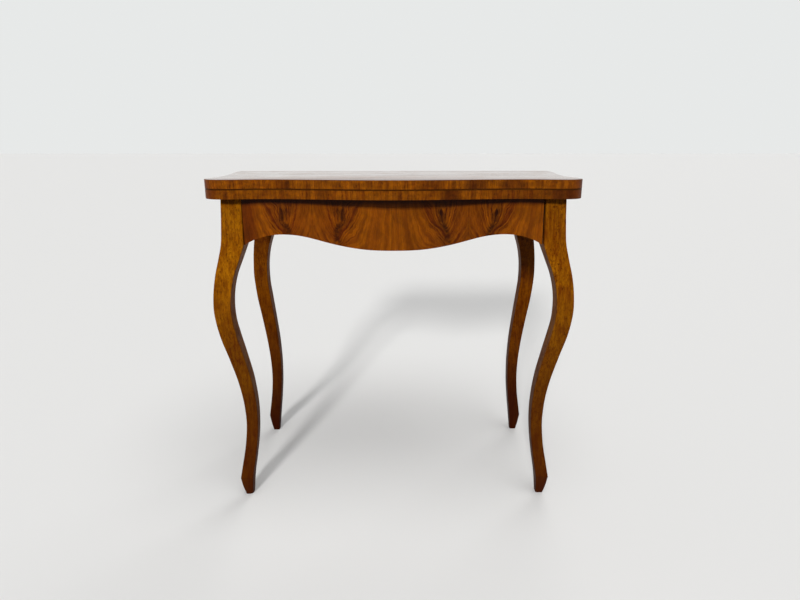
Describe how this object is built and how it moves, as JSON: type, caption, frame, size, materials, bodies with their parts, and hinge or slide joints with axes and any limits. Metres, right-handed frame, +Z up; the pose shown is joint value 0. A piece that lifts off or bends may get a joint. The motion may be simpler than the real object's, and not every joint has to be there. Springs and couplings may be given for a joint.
{
  "type": "folding card table",
  "caption": "Walnut card table on cabriole legs; its serpentine top turns a quarter turn and unfolds to a square.",
  "frame": {"origin": "centre of the closed table's footprint box, on the floor", "axes": "+X to the table's right seen from the front, +Y to the back and the hinge edge, +Z up"},
  "size_m": [0.84, 0.4198, 0.76],
  "materials": {
    "walnut_veneer": "polished walnut veneer with a clear shellac gloss",
    "figured_walnut": "bookmatched crotch walnut veneer, polished",
    "solid_walnut": "solid walnut, polished, worn towards the feet",
    "pine": "aged bare pine",
    "beech": "aged bare beech",
    "iron": "dark wrought iron",
    "brass": "dulled cast brass"
  },
  "bodies": {
    "frame": {"front_left_leg": "solid_walnut", "front_right_leg": "solid_walnut", "back_left_leg": "solid_walnut", "back_right_leg": "solid_walnut", "front_apron": "pine", "front_veneer_far_left": "figured_walnut", "front_veneer_left": "figured_walnut", "front_veneer_right": "figured_walnut", "front_veneer_far_right": "figured_walnut", "back_apron": "pine", "left_apron": "walnut_veneer", "right_apron": "walnut_veneer", "pivot_rail": "beech", "pivot_bush": "iron", "compartment_floor": "pine", "compartment_divider": "pine", "floor_ledgers": "pine", "corner_blocks": "pine"},
    "lower_leaf": {"lower_leaf_board": "pine", "lower_leaf_playing_veneer": "walnut_veneer", "lower_leaf_edge_band": "walnut_veneer", "lower_leaf_back_lipping": "solid_walnut", "pivot_plate": "iron", "pivot_plate_screws": "iron", "pivot_bolt": "iron", "pivot_washer": "iron", "pivot_nut": "iron", "stop_peg": "beech", "lower_hinge_plate_left": "brass", "lower_hinge_plate_right": "brass", "lower_hinge_pins": "brass", "lower_hinge_screws": "brass"},
    "hinge_links": {"hinge_link_left": "brass", "hinge_link_right": "brass"},
    "upper_leaf": {"upper_leaf_board": "pine", "upper_leaf_top_veneer": "walnut_veneer", "upper_leaf_playing_veneer": "walnut_veneer", "upper_leaf_edge_band": "walnut_veneer", "upper_leaf_back_lipping": "solid_walnut", "upper_hinge_plate_left": "brass", "upper_hinge_plate_right": "brass", "upper_hinge_pins": "brass", "upper_hinge_screws": "brass"}
  },
  "joints": [
    {"name": "top_turn", "type": "hinge", "parent": "frame", "child": "lower_leaf", "pos_m": [0.1, 0.11008, 0.7197], "axis": [0, 0, 1], "range_deg": [0, 90]},
    {"name": "link_turn", "type": "hinge", "parent": "lower_leaf", "child": "hinge_links", "pos_m": [0, 0.20688, 0.7368], "axis": [-1, 0, 0], "range_deg": [0, 90]},
    {"name": "leaf_fold", "type": "hinge", "parent": "hinge_links", "child": "upper_leaf", "pos_m": [0, 0.20688, 0.7432], "axis": [-1, 0, 0], "range_deg": [0, 90]}
  ],
  "couplings": [
    {"joint": "leaf_fold", "follows": "link_turn", "ratio": 1}
  ]
}
